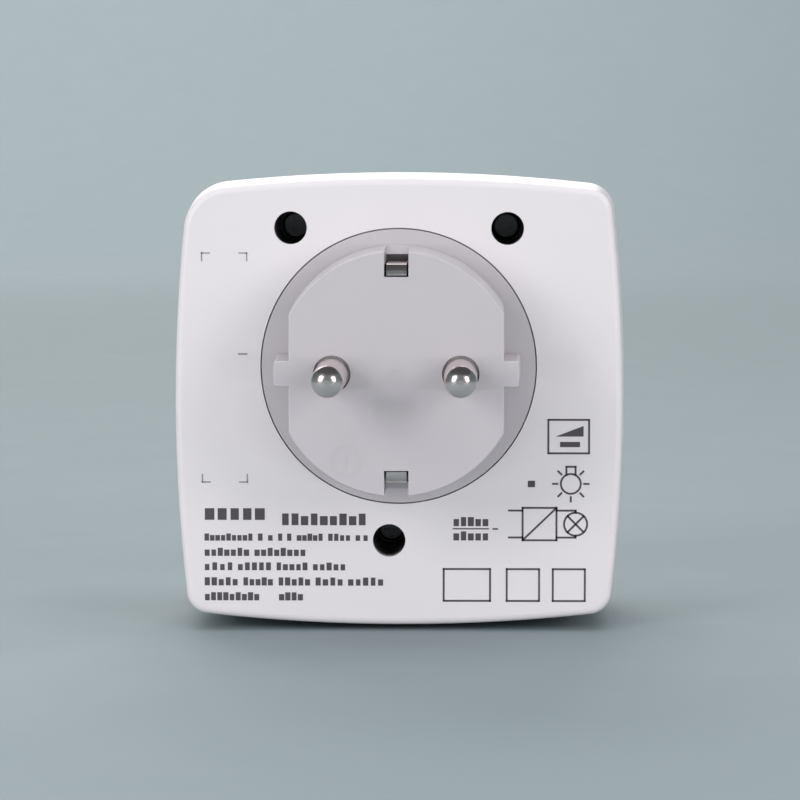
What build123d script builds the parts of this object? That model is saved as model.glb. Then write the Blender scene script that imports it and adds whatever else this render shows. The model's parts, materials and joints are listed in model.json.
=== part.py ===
# Plug in dimmer: a mains adapter with an earthed plug on its back and an earthed socket in its front.
# Millimetres, +Z up. The origin is the centre of the plug face, between the two pins.
# The pins point along +Y, into the wall socket. The socket in the front opens along -Y.

import math
import os

from build123d import *

os.makedirs("parts", exist_ok=True)

# Shared by all pieces
OVERRUN = 1.0               # how far a cut runs past the face that it opens
FIT_GAP = 0.15              # between pieces that slip together
SEAT_GAP = 0.3              # between pieces that face each other without touching

# Plug pins
PIN_PITCH = 19.0
PIN_RADIUS = 2.4
PIN_LENGTH = 19.0
PIN_TIP_ROUND = 2.1
SHANK_RADIUS = 2.2
SHANK_LENGTH = 7.6
TAIL_RADIUS = 1.4
RIVET_HEAD_RADIUS = 2.0
RIVET_HEAD_THICKNESS = 0.8

# Body
BODY_WIDTH = 70.0
BODY_HEIGHT = 70.0
BODY_DEPTH = 39.0
BODY_DROP = 5.6             # centre of the body below the plug axis
SIDE_CROWN_RADIUS = 265.0
CORNER_RADIUS = 4.3
WIDE_CORNER_RADIUS = 7.5    # of the one corner at +X and +Z
REAR_DRAFT = 3.5            # taper of the sides towards the back, in degrees
FRONT_DRAFT = 1.5
REAR_DEPTH = 15.0           # from the back face to the seam
BACK_WALL = 2.0
SIDE_WALL = 2.0
FRONT_WALL = 2.2
REAR_EDGE_ROUND = 1.0
FRONT_EDGE_ROUND = 3.0
LAP_THICKNESS = 1.0         # inner half of the side wall, which laps over the seam
LAP_HEIGHT = 1.6
SEAM_CHAMFER = 0.15         # on both shells, where they meet

# Plug body
PLUG_HEIGHT = 19.0          # from the back face to the plug face
PLUG_FACE_RADIUS = 18.15
PLUG_ROOT_RADIUS = 18.6
PLUG_WALL = 2.0
PLUG_FACE_THICKNESS = 3.0
PLUG_EDGE_ROUND = 0.25
PLUG_FLAT = 15.9            # from the axis to each side flat
PLUG_RIB_WIDTH = 3.9        # rib left standing in the middle of each flat
PLUG_RIB_ROUND = 0.5        # along the ribs' outer corners
PLUG_DISC_RADIUS = 20.9     # disc that fills the hole in the back
PLUG_DISC_GAP = 0.2
PLUG_LIP = 0.9              # reach of the inner flange behind the back wall
PLUG_LIP_THICKNESS = 1.4
NOTCH_WIDTH = 3.6
NOTCH_INNER = 14.3          # from the axis to the inner end of each earth notch
NOTCH_SPARE = 0.5           # notch past the strap's cross bar
NOTCH_RAMP_START = 17.25    # height of the notch's ramp at its low end
NOTCH_RAMP_SETBACK = 14.5   # from the plug face to that low end
MARK_HEIGHT = 0.08          # of the raised moulding marks on the plug face
MARK_LINE = 0.3
MARK_RING_RADIUS = 2.3
MARK_RING_PLACE = (7.4, -12.7)
MARK_FRAME_SIZE = (5.2, 1.5)
MARK_FRAME_PLACE = (0.4, -4.9)
MARK_GATE_RADIUS = 1.0

# Pin carrier behind the plug face
COLLAR_RADIUS = 2.65
COLLAR_GAP = 0.1
COLLAR_SETBACK = 1.0        # collars end behind the plug face
CARRIER_HEIGHT = 10.0
CARRIER_END_MARGIN = 3.6    # carrier beyond each pin's axis
CARRIER_THICKNESS = 2.5
PIN_BORE_GAP = 0.05

# Mains strips from the pins to the power board
BUS_THICKNESS = 0.8
BUS_WIDTH = 3.5
BUS_RISE = 8.0              # from the pin axis to the leg
BUS_TOE = 2.5
BUS_BEND = 1.0
SOLDER_STUB = 0.6           # leads past the far side of a board

# Earth strap in the plug, earth bracket in the socket and the link between them
STRAP_THICKNESS = 1.0
STRAP_WIDTH = 3.0
STRAP_OUTER = 16.2          # contact faces of the strap, from the axis
STRAP_SETBACK = 0.8         # strap ends behind the plug face
STRAP_CURL = 1.2            # length of the turned-in ends
STRAP_BEND = 0.95
STRAP_DEPTH = 17.0          # from the plug face to the far side of the cross bar
BRACKET_THICKNESS = 0.8
BRACKET_WIDTH = 4.5
BRACKET_ARM = 17.8          # arms from the axis, where they pass the socket floor
BRACKET_CONTACT = 16.5      # arms from the axis at the bow
BRACKET_TIP = 18.2
BRACKET_SHOULDER = 1.6      # arm straight past the floor
BRACKET_BOW = 6.0
BRACKET_FLAT = 3.0
BRACKET_TIP_SETBACK = 3.0
BRACKET_BEND = 1.2
LINK_THICKNESS = 0.8
LINK_WIDTH = 4.0
LINK_FOOT = 4.6
LINK_BEND = 0.9
EARTH_RIVET_RADIUS = 0.7
EARTH_RIVET_HEAD = 1.3
EARTH_RIVET_HEAD_THICKNESS = 0.5
EARTH_RIVET_REACH = 2.8     # rivets from the axis, along the feet

# Socket insert
RECESS_RADIUS = 19.6
RECESS_DEPTH = 17.5
RECESS_FLAT = 16.6
RECESS_GROOVE_REACH = 18.8
RECESS_GROOVE_WIDTH = 4.6
CUP_WALL = 1.8
CUP_RIM = 1.2               # reach of the rim past the cup wall
CUP_RIM_THICKNESS = 1.2
CUP_RIM_ROUND = 0.5
CUP_LUG_REACH = 0.8
CUP_LUG_WIDTH = 5.0
CUP_LUG_HEIGHT = 1.6
CUP_LUG_ANGLES = (20.0, 160.0, 200.0, 340.0)
FLOOR_THICKNESS = 2.0
HOLE_RADIUS = 2.75
HOLE_CHAMFER = 0.35
EARTH_SLOT_CLEARANCE = 0.5

# Socket contacts
CONTACT_WALL = 0.7
CONTACT_CLEARANCE = 0.05    # around a plug pin
CONTACT_SLOT = 0.8
CONTACT_COLLAR = 2.0
CONTACT_LEG_WIDTH = 2.5
CONTACT_MOUTH = 0.45

# Shutter, its spring and its cover
SHUTTER_THICKNESS = 1.6
SHUTTER_GAP = 0.2
SHUTTER_REACH = 13.2
SHUTTER_WIDTH = 6.5
SHUTTER_HUB = 5.2
SHUTTER_RAMP = 1.0
SHUTTER_PEG_RADIUS = 0.5
PIVOT_RADIUS = 1.5
PIVOT_GAP = 0.3
SPRING_STRIP = 0.3
SPRING_PITCH = 0.8
SPRING_TURNS = 3
SPRING_HEIGHT = 1.0
SPRING_GAP = 0.15
COVER_WALL = 1.2
COVER_MARGIN = 1.1          # between the shutter's tips and the cover wall

# Screw wells, towers and screws
WELL_RADIUS = 2.5
WELL_CIRCLE = 26.75         # radius of the circle that the three wells lie on
WELL_ANGLES = (52.0, 128.3, -86.9)
WELL_DEPTH = 20.4
TOWER_WALL = 1.5
TOWER_NECK_WALL = 0.8
CLAMP_RING = 0.75
SCREW_HEAD_RADIUS = 2.2
SCREW_HEAD_HEIGHT = 2.0
SCREW_RADIUS = 1.25
SCREW_LENGTH = 12.0
SCREW_GAP = 0.1
SCREW_SLOT_LENGTH = 2.8
SCREW_SLOT_WIDTH = 0.7
SCREW_SLOT_DEPTH = 1.1
SCREW_HEAD_ROUND = 0.5
BOSS_RADIUS = 3.2
BOSS_SPARE = 0.6            # bore past the screw's end

# Chassis plate
PLATE_THICKNESS = 1.6
PLATE_INSET = 2.6
PLATE_CUP_GAP = 0.4

# Snap tabs of the rear shell
TAB_WIDTH = 6.0
TAB_THICKNESS = 1.1
TAB_ROOT = 4.0              # tab above the seam
TAB_REACH = 4.4             # tab below the seam
TAB_CLEARANCE = 0.35
TAB_NOSE = 0.9
TAB_NOSE_HEIGHT = 1.2
TAB_SPREAD = 15.0           # tabs each side of a wall's middle

# Power board
BOARD_THICKNESS = 1.6
BOARD_STANDOFF = 2.2
BOARD_INSET = 3.2
LEAD_RADIUS = 0.4
LEAD_HOLE_GAP = 0.1

# Control board
CONTROL_THICKNESS = 1.2
CONTROL_WIDTH = 44.0
CONTROL_FRONT_GAP = 3.2     # from the front wall to the board's edge
CONTROL_REAR_GAP = 0.4
GUIDE_WALL = 1.3
GUIDE_LENGTH = 11.0
GUIDE_GRIP = 1.2            # board edge inside each guide

# Button, switch and indicator
BUTTON_EDGE = 7.2           # its middle from the bottom of the body
BUTTON_WIDTH = 11.0
BUTTON_HEIGHT = 4.6
BUTTON_PROUD = 0.4
BUTTON_TRAVEL = 0.5
BUTTON_GAP = 0.25
BUTTON_FLANGE = 0.6
BUTTON_FLANGE_THICKNESS = 0.8
BUTTON_STEM_RADIUS = 1.2
BUTTON_ROUND = 0.35
SWITCH_WIDTH = 6.0
SWITCH_DEPTH = 3.4
SWITCH_HEIGHT = 3.2
PLUNGER_RADIUS = 1.0
PLUNGER_GAP = 0.3
PLUNGER_PROUD = 0.8
PLUNGER_LENGTH = 1.8
GUIDE_ROD_RADIUS = 1.2
GUIDE_ROD_PLACE = 9.6       # from the axis along X
GUIDE_ROD_FLANGE = 0.7
LED_SIZE = (3.0, 1.6, 1.8)

# Header between the two boards
HEADER_PINS = 6
HEADER_PITCH = 2.54
HEADER_BODY = 2.5
HEADER_WIRE = 0.6
HEADER_RISE = 1.3           # wire above the control board
HEADER_RUN = 5.0            # wire from the power board to its bend

# Radio module and antenna
RADIO_SIZE = (13.0, 10.0)
RADIO_BOARD = 0.8
RADIO_PLACE = (-14.2, -4.0) # X of its middle, Y of its rear edge from the power board
SHIELD_MARGIN = 0.8
SHIELD_HEIGHT = 1.6
SHIELD_WALL = 0.3
ANTENNA_RADIUS = 0.4
ANTENNA_START = 19.0        # along X from the axis
ANTENNA_EDGE = 7.0          # wire from the side of the body
ANTENNA_TOP = 8.0
ANTENNA_RISE = 3.4
ANTENNA_BEND = 2.0
ANTENNA_SETBACK = 5.5       # behind the control board's front edge

# Interference capacitor
XCAP_SIZE = (10.0, 11.5, 17.0)
XCAP_EDGE = 9.8             # its middle from the side of the body
XCAP_GAP = 1.5              # below the varistor
XCAP_ROUND = 0.8
XCAP_LEAD_PITCH = 12.0

# Smoothing capacitor
BULK_RADIUS = 5.0
BULK_HEIGHT = 12.5
BULK_EDGE = 11.0            # its middle from the side of the body
BULK_GAP = 3.6              # above the transistors
BULK_GROOVE = 0.4
BULK_GROOVE_PLACE = 2.2
BULK_ROUND = 0.7
BULK_LEAD_PITCH = 5.0

# Fuse
FUSE_RADIUS = 4.2
FUSE_HEIGHT = 7.5
FUSE_EDGE = 10.0            # its middle from the side of the body
FUSE_GAP = 2.8              # below the interference capacitor
FUSE_LEAD_PITCH = 5.0
FUSE_ROUND = 0.4

# Varistor
VARISTOR_RADIUS = 5.0
VARISTOR_THICKNESS = 3.6
VARISTOR_EDGE = 8.0         # its middle from the side of the body
VARISTOR_TOP_EDGE = 13.1    # its middle from the top of the body
VARISTOR_STANDOFF = 1.2
VARISTOR_LEAD_PITCH = 5.0
VARISTOR_ROUND = 1.2

# Choke
CHOKE_RADIUS = 4.0
CHOKE_CORE_RADIUS = 2.2
CHOKE_HEIGHT = 11.0
CHOKE_FLANGE = 1.4
CHOKE_WIRE_MARGIN = 0.6
CHOKE_TOP_EDGE = 6.9        # its middle from the top of the body
CHOKE_LEAD_PITCH = 5.0

# Transformer
TRANSFORMER_SIZE = (12.0, 11.5, 13.0)
TRANSFORMER_EDGE = 11.7     # its middle from the side of the body
TRANSFORMER_RISE = 4.0
TRANSFORMER_WINDOW = (2.6, 3.0)    # core past the coil in Y and in Z
TRANSFORMER_CENTRE_POST = 1.6
COIL_MARGIN = 0.2
COIL_WALL = 1.4

# Power transistors and their heat spreader
SPREADER_SIZE = (22.0, 12.0, 1.5)
SPREADER_PLACE = (-16.4, -1.4)     # X of its middle, Y of its rear edge from the power board
SPREADER_CLEARANCE = 3.0           # above the control board
PAD_THICKNESS = 0.3
TRANSISTOR_SIZE = (8.6, 8.0, 3.0)
TRANSISTOR_SPREAD = 5.2            # each side of the spreader's middle
TRANSISTOR_LIFT = 2.6              # rear edge in front of the spreader's rear edge
TRANSISTOR_LEG = 0.7
TRANSISTOR_LEG_PITCH = 2.5
TRANSISTOR_LEG_COUNT = 3
SPREADER_TAB_WIDTH = 5.0
SPREADER_TAB_REACH = 6.2           # soldered tabs from the spreader's middle

# Chips on the power board: width, height and place. Chips on the control board: width, length, place
# across, and gap to the chassis plate, which is negative for a chip in front of the plate.
CHIP_THICKNESS = 1.2
POWER_CHIPS = ((5.0, 6.0, 13.5, -18.0), (4.0, 5.0, -4.0, -14.5), (6.5, 4.0, 8.2, 20.0))
CONTROL_CHIPS = ((7.0, 7.0, 10.0, -0.7), (4.0, 5.0, 16.5, 2.8))

# Stations along Y
Y_BACK = -PLUG_HEIGHT
Y_BACK_IN = Y_BACK - BACK_WALL
Y_SEAM = Y_BACK - REAR_DEPTH
Y_FRONT = Y_BACK - BODY_DEPTH
Y_FRONT_IN = Y_FRONT + FRONT_WALL
Y_FLOOR = Y_FRONT + RECESS_DEPTH
Y_FLOOR_BACK = Y_FLOOR + FLOOR_THICKNESS
Y_BOARD_BACK = Y_BACK_IN - BOARD_STANDOFF
Y_BOARD = Y_BOARD_BACK - BOARD_THICKNESS
Y_LEAD_END = Y_BOARD_BACK + SOLDER_STUB
Y_WELL_END = Y_BACK - WELL_DEPTH
Y_PLATE_FRONT = Y_WELL_END - PLATE_THICKNESS
Y_SHUTTER = Y_FLOOR_BACK + SHUTTER_GAP
Y_SHUTTER_BACK = Y_SHUTTER + SHUTTER_THICKNESS
Y_SPRING = Y_SHUTTER_BACK + SPRING_GAP
Y_COVER = Y_SPRING + SPRING_HEIGHT + SPRING_GAP
Y_COVER_BACK = Y_COVER + COVER_WALL
Y_BRACKET_BACK = Y_COVER_BACK + FIT_GAP + BRACKET_THICKNESS
Y_STRAP_BACK = -STRAP_DEPTH
Y_NOTCH = Y_STRAP_BACK - NOTCH_SPARE
Y_CARRIER_BACK = -PLUG_FACE_THICKNESS - CARRIER_THICKNESS
Y_PIN_END = -SHANK_LENGTH
Y_CONTROL_FRONT = Y_FRONT_IN + CONTROL_FRONT_GAP
Y_CONTROL_BACK = Y_BOARD - CONTROL_REAR_GAP
Y_SWITCH_FRONT = Y_CONTROL_FRONT
Y_PLUNGER_TIP = Y_SWITCH_FRONT - PLUNGER_PROUD

# Heights of the control board and the places that the pieces share
BUTTON_DROP = BODY_DROP + BODY_HEIGHT / 2 - BUTTON_EDGE
Z_CONTROL_TOP = -BUTTON_DROP - SWITCH_HEIGHT / 2
SPREADER_DROP = -Z_CONTROL_TOP - SPREADER_CLEARANCE - SPREADER_SIZE[2]
X_SIDE = BODY_WIDTH / 2
Z_TOP = BODY_HEIGHT / 2 - BODY_DROP
ANTENNA_OUT = X_SIDE - ANTENNA_EDGE
VARISTOR_PLACE = (X_SIDE - VARISTOR_EDGE, Z_TOP - VARISTOR_TOP_EDGE)
CHOKE_PLACE = (0.0, Z_TOP - CHOKE_TOP_EDGE)
XCAP_PLACE = (X_SIDE - XCAP_EDGE, VARISTOR_PLACE[1] - VARISTOR_RADIUS - XCAP_GAP - XCAP_SIZE[2] / 2)
FUSE_PLACE = (X_SIDE - FUSE_EDGE, XCAP_PLACE[1] - XCAP_SIZE[2] / 2 - FUSE_GAP - FUSE_RADIUS)
TRANSFORMER_PLACE = (TRANSFORMER_EDGE - X_SIDE, TRANSFORMER_RISE)
BULK_RISE = PAD_THICKNESS + TRANSISTOR_SIZE[2] + BULK_GAP + BULK_RADIUS
BULK_PLACE = (BULK_EDGE - X_SIDE, BULK_RISE - SPREADER_DROP)
Z_CONTROL_BOTTOM = Z_CONTROL_TOP - CONTROL_THICKNESS
PIN_X = PIN_PITCH / 2
CUP_RADIUS = RECESS_RADIUS + CUP_WALL
RIM_RADIUS = CUP_RADIUS + CUP_RIM
TOWER_RADIUS = WELL_RADIUS + TOWER_WALL
NECK_RADIUS = WELL_RADIUS + TOWER_NECK_WALL
CLAMP_RADIUS = NECK_RADIUS + FIT_GAP + CLAMP_RING
CONTACT_BORE = PIN_RADIUS + CONTACT_CLEARANCE
CONTACT_RADIUS = CONTACT_BORE + CONTACT_WALL
COVER_RADIUS = SHUTTER_REACH + COVER_MARGIN + COVER_WALL
BOARD_HOLE_RADIUS = PIN_RADIUS + SEAT_GAP * 2
WELLS = [(WELL_CIRCLE * math.cos(math.radians(a)), WELL_CIRCLE * math.sin(math.radians(a)))
         for a in WELL_ANGLES]


def y_plane(y):
    return Plane.XZ.offset(-y)


def prism(profile, y_low, y_high):
    return extrude(y_plane(y_high) * profile, y_high - y_low)


def rod(radius, x, z, y_low, y_high):
    return prism(Pos(x, z) * Circle(radius), y_low, y_high)


def block(x_range, y_range, z_range):
    size = [high - low for low, high in (x_range, y_range, z_range)]
    corner = (x_range[0], y_range[0], z_range[0])
    return Pos(*corner) * Box(*size, align=(Align.MIN, Align.MIN, Align.MIN))


def around(centre, width):
    return (centre - width / 2, centre + width / 2)


def strip_in_yz(points, bend, thickness, width, x=0.0):
    path = FilletPolyline(*points, radius=bend)
    return Pos(x, 0, 0) * extrude(Plane.YZ * trace(path, thickness), width / 2, both=True)


def corners_of(outline):
    return outline.vertices().sort_by(lambda corner: corner.X + corner.Y)


def body_outline(inset=0.0):
    half_width = BODY_WIDTH / 2 - inset
    half_height = BODY_HEIGHT / 2 - inset
    crown = Circle(SIDE_CROWN_RADIUS - inset)
    across = SIDE_CROWN_RADIUS - inset - half_width
    upright = SIDE_CROWN_RADIUS - inset - half_height
    shape = Pos(-across, 0) * crown & Pos(across, 0) * crown
    shape = shape & Pos(0, -upright) * crown & Pos(0, upright) * crown
    shape = fillet(corners_of(shape)[:-1], CORNER_RADIUS - inset)
    return fillet(corners_of(shape)[-1], WIDE_CORNER_RADIUS - inset)


def draft_at(y):
    draft = REAR_DRAFT if y > Y_SEAM else FRONT_DRAFT
    return abs(y - Y_SEAM) * math.tan(math.radians(draft))


def body_loft(stations):
    return loft([y_plane(y) * Pos(0, -BODY_DROP) * body_outline(inset) for y, inset in stations], ruled=True)


def body_block(y_end, inset=0.0):
    return body_loft(((Y_SEAM, inset), (y_end, inset + draft_at(y_end))))


def shell_block(y_end, edge_round):
    y_full = Y_SEAM + math.copysign(SEAM_CHAMFER, y_end - Y_SEAM)
    solid = body_loft(((Y_SEAM, SEAM_CHAMFER), (y_full, draft_at(y_full)), (y_end, draft_at(y_end))))
    return fillet(edges_at(solid, y_end), edge_round)


def body_ring(outer_inset, inner_inset, y_low, y_high):
    ring = body_outline(outer_inset) - body_outline(inner_inset)
    return prism(Pos(0, -BODY_DROP) * ring, y_low, y_high)


def edges_at(shape, y):
    return shape.edges().filter_by_position(Axis.Y, y, y)


def pill(width, height):
    return SlotOverall(width, height)


def leads(places, y_high=Y_LEAD_END, y_low=Y_BOARD, radius=LEAD_RADIUS):
    return [rod(radius, x, z, y_low, y_high) for x, z in places]


def lead_places(place, pitch, upright=False):
    x, z = place
    half = pitch / 2
    return [(x, z - half), (x, z + half)] if upright else [(x - half, z), (x + half, z)]


def tab_boxes(width, y_range):
    reach = max(BODY_WIDTH, BODY_HEIGHT)
    across = [block((-reach, reach), y_range, around(side * TAB_SPREAD - BODY_DROP, width))
              for side in (-1, 1)]
    upright = [block(around(side * TAB_SPREAD, width), y_range, (-reach, reach)) for side in (-1, 1)]
    return across + upright


TAB_INSET = SIDE_WALL + draft_at(Y_SEAM - TAB_REACH) + TAB_CLEARANCE
NOSE_TOP = Y_SEAM - TAB_REACH + TAB_NOSE_HEIGHT


def make_rear_shell():
    shell = shell_block(Y_BACK, REAR_EDGE_ROUND)
    shell -= body_block(Y_BACK_IN, SIDE_WALL)
    rebate = SIDE_WALL - LAP_THICKNESS
    lap_end = Y_SEAM + LAP_HEIGHT + FIT_GAP
    shell -= body_ring(rebate - FIT_GAP, SIDE_WALL + OVERRUN, Y_SEAM - OVERRUN, lap_end)
    tab_root = (lap_end, Y_SEAM + TAB_ROOT + LAP_HEIGHT)
    roots = body_ring(SIDE_WALL - LAP_THICKNESS, TAB_INSET + TAB_THICKNESS, *tab_root)
    arms = body_ring(TAB_INSET, TAB_INSET + TAB_THICKNESS, Y_SEAM - TAB_REACH, tab_root[1])
    noses = body_ring(TAB_INSET - TAB_NOSE, TAB_INSET, Y_SEAM - TAB_REACH, NOSE_TOP)
    full = (Y_SEAM - TAB_REACH - OVERRUN, tab_root[1] + OVERRUN)
    for box in tab_boxes(TAB_WIDTH, full):
        shell += (roots + arms + noses) & box
    for x, z in WELLS:
        shell += rod(CLAMP_RADIUS, x, z, Y_BOARD_BACK, Y_BACK_IN)
        shell -= rod(NECK_RADIUS + FIT_GAP, x, z, Y_BOARD_BACK - OVERRUN, Y_BACK_IN)
        shell -= rod(WELL_RADIUS, x, z, Y_BACK_IN - OVERRUN, Y_BACK + OVERRUN)
    shell -= rod(PLUG_DISC_RADIUS + PLUG_DISC_GAP, 0, 0, Y_BACK_IN - OVERRUN, Y_BACK + OVERRUN)
    return shell


def make_front_shell():
    shell = shell_block(Y_FRONT, FRONT_EDGE_ROUND)
    shell -= body_block(Y_FRONT_IN, SIDE_WALL)
    shell += body_ring(SIDE_WALL - LAP_THICKNESS, SIDE_WALL, Y_SEAM, Y_SEAM + LAP_HEIGHT)
    pockets = body_ring(TAB_INSET - TAB_NOSE - FIT_GAP, TAB_INSET, Y_SEAM - TAB_REACH - FIT_GAP,
                        NOSE_TOP + FIT_GAP)
    for box in tab_boxes(TAB_WIDTH + FIT_GAP * 2, (Y_SEAM - TAB_REACH - OVERRUN, NOSE_TOP + OVERRUN)):
        shell -= pockets & box
    for x, z in WELLS:
        shell += rod(BOSS_RADIUS, x, z, Y_FRONT_IN, Y_PLATE_FRONT)
        bore_end = Y_WELL_END - SCREW_LENGTH - BOSS_SPARE
        shell -= rod(SCREW_RADIUS + SCREW_GAP, x, z, bore_end, Y_PLATE_FRONT + OVERRUN)
    shell -= rod(CUP_RADIUS + FIT_GAP, 0, 0, Y_FRONT - OVERRUN, Y_FRONT_IN + OVERRUN)
    shell -= rod(RIM_RADIUS + FIT_GAP, 0, 0, Y_FRONT - OVERRUN, Y_FRONT + CUP_RIM_THICKNESS)
    opening = pill(BUTTON_WIDTH + BUTTON_GAP * 2, BUTTON_HEIGHT + BUTTON_GAP * 2)
    shell -= prism(Pos(0, -BUTTON_DROP) * opening, Y_FRONT - OVERRUN, Y_FRONT_IN + OVERRUN)
    shell -= rod(GUIDE_ROD_RADIUS + FIT_GAP, GUIDE_ROD_PLACE, -BUTTON_DROP, Y_FRONT - OVERRUN,
                 Y_FRONT_IN + OVERRUN)
    inner_z = -BODY_DROP - BODY_HEIGHT / 2 + SIDE_WALL / 2
    for side in (-1, 1):
        inner, outer = CONTROL_WIDTH / 2 - GUIDE_GRIP, CONTROL_WIDTH / 2 + GUIDE_WALL
        x_range = sorted((side * inner, side * outer))
        guide = block(x_range, (Y_FRONT_IN, Y_FRONT_IN + GUIDE_LENGTH),
                      (inner_z, Z_CONTROL_TOP + GUIDE_WALL))
        shell += guide & body_block(Y_FRONT, SIDE_WALL / 2)
    shell -= block(around(0, CONTROL_WIDTH + FIT_GAP * 2), (Y_CONTROL_FRONT - FIT_GAP, Y_SEAM),
                   (Z_CONTROL_BOTTOM - FIT_GAP / 2, Z_CONTROL_TOP + FIT_GAP / 2))
    return shell


def plug_profile(shrink=0.0):
    flats = Rectangle((PLUG_FLAT - shrink) * 2, PLUG_FACE_RADIUS * 2)
    return Circle(PLUG_FACE_RADIUS - shrink) & flats


def notch_cut(side):
    z_range = sorted((side * NOTCH_INNER, side * (PLUG_DISC_RADIUS + OVERRUN)))
    return block(around(0, NOTCH_WIDTH), (Y_NOTCH, OVERRUN), z_range)


def notch_ramp(side):
    low, high = side * NOTCH_RAMP_START, side * PLUG_ROOT_RADIUS
    end = Y_NOTCH - OVERRUN
    points = [(-NOTCH_RAMP_SETBACK, low), (Y_NOTCH, high), (end, high), (end, low)]
    face = make_face(Polyline(*points, close=True))
    return extrude(Plane.YZ * face, NOTCH_WIDTH / 2, both=True)


def plug_marks():
    ring = Circle(MARK_RING_RADIUS) - Circle(MARK_RING_RADIUS - MARK_LINE)
    bar = Rectangle(MARK_LINE, MARK_RING_RADIUS)
    width, height = MARK_FRAME_SIZE
    frame = Rectangle(width, height) - Rectangle(width - MARK_LINE * 2, height - MARK_LINE * 2)
    gate = Circle(MARK_GATE_RADIUS) - Circle(MARK_GATE_RADIUS - MARK_LINE)
    places = ((ring + bar, MARK_RING_PLACE), (frame, MARK_FRAME_PLACE), (gate, (0.0, 0.0)))
    return [prism(Pos(*place) * shape, -MARK_HEIGHT, MARK_HEIGHT) for shape, place in places]


def make_plug_insert():
    slope = math.degrees(math.atan2(PLUG_ROOT_RADIUS - PLUG_FACE_RADIUS, PLUG_HEIGHT))
    base = Plane(origin=(0, Y_BACK, 0), x_dir=(1, 0, 0), z_dir=(0, 1, 0))
    barrel = extrude(base * Circle(PLUG_ROOT_RADIUS), PLUG_HEIGHT, taper=slope)
    flats = Rectangle(PLUG_FLAT * 2, PLUG_DISC_RADIUS * 2) + Rectangle(PLUG_DISC_RADIUS * 2, PLUG_RIB_WIDTH)
    barrel &= prism(flats, Y_BACK, 0)
    rib_edges = [edge for edge in barrel.edges()
                 if abs(edge.center().X) > PLUG_FLAT + PLUG_RIB_ROUND and edge.length > PLUG_RIB_WIDTH * 2]
    barrel = fillet(rib_edges, PLUG_RIB_ROUND)
    barrel = fillet(edges_at(barrel, 0), PLUG_EDGE_ROUND)
    insert = barrel + rod(PLUG_DISC_RADIUS, 0, 0, Y_BACK_IN, Y_BACK)
    lip_end = Y_BACK_IN - PLUG_LIP_THICKNESS
    insert += rod(PLUG_DISC_RADIUS + PLUG_LIP, 0, 0, lip_end, Y_BACK_IN)
    insert -= prism(plug_profile(PLUG_WALL), lip_end - OVERRUN, -PLUG_FACE_THICKNESS)
    for side in (-1, 1):
        insert -= notch_cut(side)
        insert += notch_ramp(side) & barrel
        insert -= rod(COLLAR_RADIUS + COLLAR_GAP, side * PIN_X, 0, -PLUG_FACE_THICKNESS - OVERRUN, OVERRUN)
    for mark in plug_marks():
        insert += mark
    return insert


def make_pin_carrier():
    half_length = PIN_X + CARRIER_END_MARGIN
    plate = pill(half_length * 2, CARRIER_HEIGHT)
    carrier = prism(plate, Y_CARRIER_BACK, -PLUG_FACE_THICKNESS)
    for side in (-1, 1):
        carrier += rod(COLLAR_RADIUS, side * PIN_X, 0, -PLUG_FACE_THICKNESS, -COLLAR_SETBACK)
        carrier -= rod(SHANK_RADIUS + PIN_BORE_GAP, side * PIN_X, 0, Y_CARRIER_BACK - OVERRUN, OVERRUN)
    return carrier


def make_pin(side):
    x = side * PIN_X
    shaft = rod(PIN_RADIUS, x, 0, 0, PIN_LENGTH)
    shaft = fillet(edges_at(shaft, PIN_LENGTH), PIN_TIP_ROUND)
    shaft += rod(SHANK_RADIUS, x, 0, Y_PIN_END, 0)
    tail_end = Y_PIN_END - BUS_THICKNESS
    shaft += rod(TAIL_RADIUS, x, 0, tail_end, Y_PIN_END)
    return shaft + rod(RIVET_HEAD_RADIUS, x, 0, tail_end - RIVET_HEAD_THICKNESS, tail_end)


def make_bus(side):
    middle = Y_PIN_END - BUS_THICKNESS / 2
    points = [(middle, -BUS_TOE), (middle, BUS_RISE), (Y_BOARD - SOLDER_STUB, BUS_RISE)]
    bus = strip_in_yz(points, BUS_BEND, BUS_THICKNESS, BUS_WIDTH, side * PIN_X)
    return bus - rod(TAIL_RADIUS, side * PIN_X, 0, Y_PIN_END - BUS_THICKNESS - OVERRUN, Y_PIN_END + OVERRUN)


def make_plug_earth_strap():
    reach = STRAP_OUTER - STRAP_THICKNESS / 2
    front = -STRAP_SETBACK - STRAP_THICKNESS / 2
    back = Y_STRAP_BACK + STRAP_THICKNESS / 2
    points = [(front, reach - STRAP_CURL), (front, reach), (back, reach),
              (back, -reach), (front, -reach), (front, STRAP_CURL - reach)]
    strap = strip_in_yz(points, STRAP_BEND, STRAP_THICKNESS, STRAP_WIDTH)
    return strap - rod(EARTH_RIVET_RADIUS, 0, EARTH_RIVET_REACH, Y_STRAP_BACK - OVERRUN,
                       Y_STRAP_BACK + STRAP_THICKNESS + OVERRUN)


def make_socket_earth_bracket():
    back = Y_BRACKET_BACK - BRACKET_THICKNESS / 2
    shoulder = Y_FLOOR - BRACKET_SHOULDER
    bow = shoulder - BRACKET_BOW
    flat_end = bow - BRACKET_FLAT
    tip = Y_FRONT + BRACKET_TIP_SETBACK
    half = [(tip, BRACKET_TIP), (flat_end, BRACKET_CONTACT), (bow, BRACKET_CONTACT),
            (shoulder, BRACKET_ARM), (back, BRACKET_ARM)]
    points = half + [(y, -z) for y, z in reversed(half)]
    bracket = strip_in_yz(points, BRACKET_BEND, BRACKET_THICKNESS, BRACKET_WIDTH)
    return bracket - rod(EARTH_RIVET_RADIUS, 0, -EARTH_RIVET_REACH,
                         Y_BRACKET_BACK - BRACKET_THICKNESS - OVERRUN, Y_BRACKET_BACK + OVERRUN)


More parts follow.
